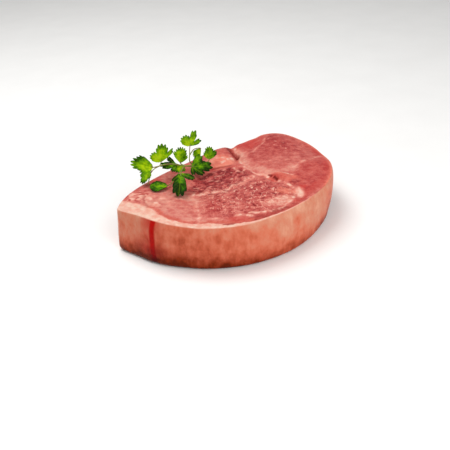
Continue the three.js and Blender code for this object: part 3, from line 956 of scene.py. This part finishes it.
def mesh_piece(name, points, faces, values, material):
    """A smooth mesh object from points in millimetres, with its values as named attributes."""
    mesh = bpy.data.meshes.new(name)
    mesh.from_pydata((np.asarray(points) * MM).tolist(), [], faces, shade_flat=False)
    for key, value in values.items():
        attribute = mesh.attributes.new(key, "FLOAT", "POINT")
        attribute.data.foreach_set("value", np.asarray(value, np.float32))
    mesh.materials.append(material)
    mesh.update()
    mesh.set_sharp_from_angle(angle=math.radians(SHARP_ANGLE))
    return add_object(name, mesh)


class Shader:
    """A material's node tree, with short ways to add nodes to it."""

    def __init__(self, name):
        self.material = bpy.data.materials.new(name)
        self.material.use_nodes = True
        self.tree = self.material.node_tree
        self.surface = self.tree.nodes["Principled BSDF"]
        self.place = self.add("TexCoord").outputs["Object"]

    def add(self, kind, inputs=None, **settings):
        """A new node with settings, and with values or other nodes' outputs on its inputs."""
        node = self.tree.nodes.new("ShaderNode" + kind)
        for key, value in settings.items():
            setattr(node, key, value)
        self.feed(node, inputs or {})
        return node

    def feed(self, node, inputs):
        for key, value in inputs.items():
            if isinstance(value, bpy.types.NodeSocket):
                self.tree.links.new(value, node.inputs[key])
            else:
                node.inputs[key].default_value = value

    def value(self, name):
        """A named value of the mesh."""
        return self.add("Attribute", attribute_name=name).outputs["Fac"]

    def math(self, operation, *numbers):
        return self.add("Math", dict(enumerate(numbers)), operation=operation).outputs[0]

    def scaled(self, place, size, stretch):
        """A place in units of a size in millimetres, stretched along the axes."""
        scale = [1 / (size * MM * factor) for factor in stretch]
        return self.add("VectorMath", {0: place, 1: scale}, operation="MULTIPLY").outputs[0]

    def noise(self, size, detail=2, stretch=(1, 1, 1), turn=0):
        """Noise from 0 to 1 with bumps of a given size, stretched along axes turned in the plan."""
        inputs = {"Vector": self.place, "Angle": -math.radians(turn)}
        place = self.scaled(self.add("VectorRotate", inputs).outputs[0], size, stretch)
        inputs = {"Vector": place, "Scale": 1, "Detail": detail}
        return self.add("TexNoise", inputs).outputs["Fac"]

    def cells(self, size, stretch=(1, 1, 1)):
        """Distance from the edges of cells of a given size."""
        inputs = {"Vector": self.scaled(self.place, size, stretch), "Scale": 1}
        return self.add("TexVoronoi", inputs, feature="DISTANCE_TO_EDGE").outputs["Distance"]

    def spread(self, signal, low, high, first=0, last=1):
        """A signal's range from low to high as first to last."""
        inputs = {"Value": signal, 1: low, 2: high, 3: first, 4: last}
        return self.add("MapRange", inputs).outputs[0]

    def sway(self, base, signal, amount):
        """base with a share of a signal that averages a half added to it."""
        return self.math("MULTIPLY_ADD", self.math("SUBTRACT", signal, 0.5), amount, base)

    def ramp(self, factor, stops):
        """A colour ramp through stops, which give positions their colours on the screen."""
        node = self.add("ValToRGB", {"Fac": factor})
        elements = node.color_ramp.elements
        while len(elements) < len(stops):
            elements.new(0.5)
        for element, (position, colour) in zip(elements, stops.items()):
            element.position = position
            element.color = srgb(*colour)
        return node.outputs["Color"]

    def mix(self, factor, first, second):
        """The first colour at factor 0 and the second at factor 1."""
        inputs = {0: factor, 6: first, 7: second}
        return self.add("Mix", inputs, data_type="RGBA").outputs[2]

    def bump(self, height, distance):
        """A normal from a height signal, with its full height in millimetres."""
        inputs = {"Height": height, "Distance": distance * MM, "Strength": 1}
        return self.add("Bump", inputs).outputs["Normal"]


def meat_material():
    """Wet raw pork: lean meat with seams and fat, and rind with a run of blood."""
    shader = Shader("raw_pork")
    bundles = shader.cells(2.2, (1, 1, 5))
    grain = shader.noise(1.4, 2, (1, 1, 4))
    mottle = shader.noise(6, 3, (1, 1, 2))
    fibres = shader.noise(2, 3, (2.5, 1, 3), -45)
    curls = shader.noise(4.4, 1, (1.7, 1, 2), 40)
    marbled = shader.value("marbled")
    pale = shader.sway(shader.value("pale"), mottle, 0.5)
    pale = shader.sway(pale, fibres, 0.42)
    pale = shader.sway(pale, grain, 0.25)
    pores = shader.math("MULTIPLY", shader.spread(shader.noise(2.8, 2, (1, 1, 2)), 0.46, 0.38), marbled)
    pale = shader.math("SUBTRACT", pale, shader.math("MULTIPLY", pores, 0.3))
    lean = shader.ramp(pale, {
        0: (120, 34, 38),
        0.25: (168, 66, 64),
        0.5: (199, 105, 95),
        0.75: (214, 143, 127),
        1: (232, 184, 164),
    })
    lean = shader.mix(shader.math("MULTIPLY", shader.value("warm"), 0.8), lean, srgb(240, 128, 100))
    lean = shader.mix(shader.math("MULTIPLY", shader.value("red"), 0.8), lean, srgb(192, 50, 46))
    fat_tint = shader.ramp(shader.noise(5, 3), {
        0.38: (224, 166, 146),
        0.62: (233, 196, 176),
    })
    # pale curled flecks in the marbled muscles: partly fat and connective tissue, partly painted highlights
    # of the wet cut
    off_curl = shader.math("ABSOLUTE", shader.math("SUBTRACT", curls, 0.5))
    curl = shader.math("MULTIPLY", shader.spread(off_curl, 0.04, 0.012), shader.spread(mottle, 0.44, 0.54))
    fleck_and_glint = shader.math("MULTIPLY", shader.math("MULTIPLY", curl, marbled), 0.7)
    fat = shader.math("MAXIMUM", shader.sway(shader.value("fat"), grain, 0.3), fleck_and_glint)
    film = shader.mix(shader.spread(fat, 0, 0.7), lean, srgb(230, 150, 132))
    flesh = shader.mix(shader.spread(fat, 0.3, 1), film, fat_tint)
    # painted shade in the gash, the pits and a crease
    flesh = shader.mix(shader.value("dark"), flesh, srgb(104, 14, 8))
    blush = shader.sway(shader.value("blush"), shader.noise(2.4, 4, (1, 1, 2)), 0.25)
    blush = shader.sway(blush, shader.noise(9, 4), 0.5)
    # rind colours by redness: the darker stops, reached low on the wall, hold painted shade as well as
    # redder skin
    rind = shader.ramp(blush, {
        0: (228, 170, 141),
        0.25: (212, 138, 110),
        0.45: (212, 116, 88),
        0.6: (197, 94, 66),
        0.75: (168, 71, 45),
        0.9: (138, 48, 18),
        1: (104, 32, 6),
    })
    colour = shader.mix(shader.value("rind"), flesh, rind)
    clot = shader.ramp(blush, {
        0.4: (184, 10, 4),
        0.7: (136, 0, 0),
        1: (78, 0, 0),
    })
    colour = shader.mix(shader.value("blood"), colour, clot)
    height = shader.math("ADD", shader.math("MULTIPLY", bundles, 0.5), shader.noise(1.1))
    shader.feed(shader.surface, {
        "Base Color": colour,
        "Roughness": shader.spread(mottle, 0, 1, 0.25, 0.45),
        "Specular IOR Level": 0.05,
        "Subsurface Weight": 0.12,
        "Subsurface Radius": (1, 0.35, 0.25),
        "Subsurface Scale": 1.5 * MM,
        "Normal": shader.bump(height, 0.3),
    })
    return shader.material


def leaf_material():
    """Parsley leaf: lime in the light leaflets and deep green in the dark ones, partly painted light and
    shade, with paler veins.
    """
    shader = Shader("parsley_leaf")
    light = shader.sway(shader.value("light"), shader.noise(6, 3), 1.5)
    light = shader.sway(light, shader.noise(1.6), 0.4)
    blade = shader.ramp(light, {
        0: (12, 40, 2),
        0.3: (44, 92, 2),
        0.6: (104, 154, 2),
        0.85: (154, 192, 4),
        1: (180, 208, 20),
    })
    colour = shader.mix(shader.math("MULTIPLY", shader.value("vein"), 0.35), blade, srgb(156, 190, 30))
    shader.feed(shader.surface, {
        "Base Color": colour,
        "Roughness": shader.spread(light, 0, 1, 0.6, 0.45),
        "Specular IOR Level": 0.05,
        "Subsurface Weight": 0.3,
        "Subsurface Radius": (0.6, 1, 0.05),
        "Subsurface Scale": 1.5 * MM,
        "Normal": shader.bump(shader.noise(1.2), 0.15),
    })
    return shader.material


def stalk_material():
    """Parsley stalk: olive green, in places purplish."""
    shader = Shader("parsley_stalk")
    tint = shader.noise(9, 3)
    colour = shader.ramp(tint, {
        0.38: (104, 130, 28),
        0.5: (134, 148, 50),
        0.62: (132, 100, 62),
    })
    shader.feed(shader.surface, {
        "Base Color": colour,
        "Roughness": shader.spread(tint, 0, 1, 0.4, 0.55),
        "Subsurface Weight": 0.15,
        "Subsurface Radius": (0.6, 1, 0.2),
        "Subsurface Scale": 1 * MM,
        "Normal": shader.bump(shader.noise(0.8, 2, (1, 1, 3)), 0.1),
    })
    return shader.material


def floor_material():
    """A nearly white, even floor."""
    shader = Shader("pale_floor")
    tint = shader.ramp(shader.noise(60), {
        0.3: (250, 249, 247),
        0.7: (253, 252, 250),
    })
    shader.feed(shader.surface, {"Base Color": tint, "Roughness": 0.7})
    return shader.material


def make_floor():
    """A square floor just below the part."""
    signs = ((-1, -1), (1, -1), (1, 1), (-1, 1))
    corners = [(x * FLOOR_HALF, y * FLOOR_HALF, FLOOR_HEIGHT) for x, y in signs]
    floor = mesh_piece("floor", corners, [(0, 1, 2, 3)], {}, floor_material())


def make_camera():
    """The photograph's viewing angle: over the heel corner's rind side, tilted a little to the left."""
    data = bpy.data.cameras.new("camera")
    data.sensor_width = SENSOR_WIDTH
    data.lens = CAMERA_LENS
    camera = add_object("camera", data)
    place = Matrix.Translation(Vector(CAMERA_PLACE) * MM)
    for degrees, axis in ((CAMERA_TURN, "Z"), (90 - CAMERA_PITCH, "X"), (CAMERA_ROLL, "Z")):
        place = place @ Matrix.Rotation(math.radians(degrees), 4, axis)
    camera.matrix_world = place
    bpy.context.scene.camera = camera


def area_light(name, place, size, watts):
    """A square soft light aimed at the slice."""
    data = bpy.data.lights.new(name, "AREA")
    data.size = size * MM
    data.energy = watts
    light = add_object(name, data)
    light.location = Vector(place) * MM
    light.rotation_euler = (Vector(LIGHT_AIM) - Vector(place)).to_track_quat("-Z", "Y").to_euler()


def make_light():
    """An even white sky, the lights, and plain colours on the screen."""
    world = bpy.data.worlds.new("studio")
    world.use_nodes = True
    background = world.node_tree.nodes["Background"]
    background.inputs["Color"].default_value = (1, 1, 1, 1)
    background.inputs["Strength"].default_value = SKY_STRENGTH
    bpy.context.scene.world = world
    for name, settings in LIGHTS.items():
        area_light(name, *settings)
    bpy.context.scene.view_settings.view_transform = "Standard"


slice_piece = mesh_piece("pork_slice", *slice_surface(), meat_material())
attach(slice_piece, "root")
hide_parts("pork_leg")

blades = joined(leaf_blade(**leaf) for leaf in LEAFLETS.values())
tubes = joined((*stalk_tube(*stalk), {}) for stalk in stalk_lines())
leaves = mesh_piece("parsley_leaves", *blades, leaf_material())
stalks = mesh_piece("parsley_stalks", *tubes, stalk_material())
for piece in (leaves, stalks):
    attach(piece, "root")
    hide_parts("parsley_sprig")

make_floor()
make_camera()
make_light()
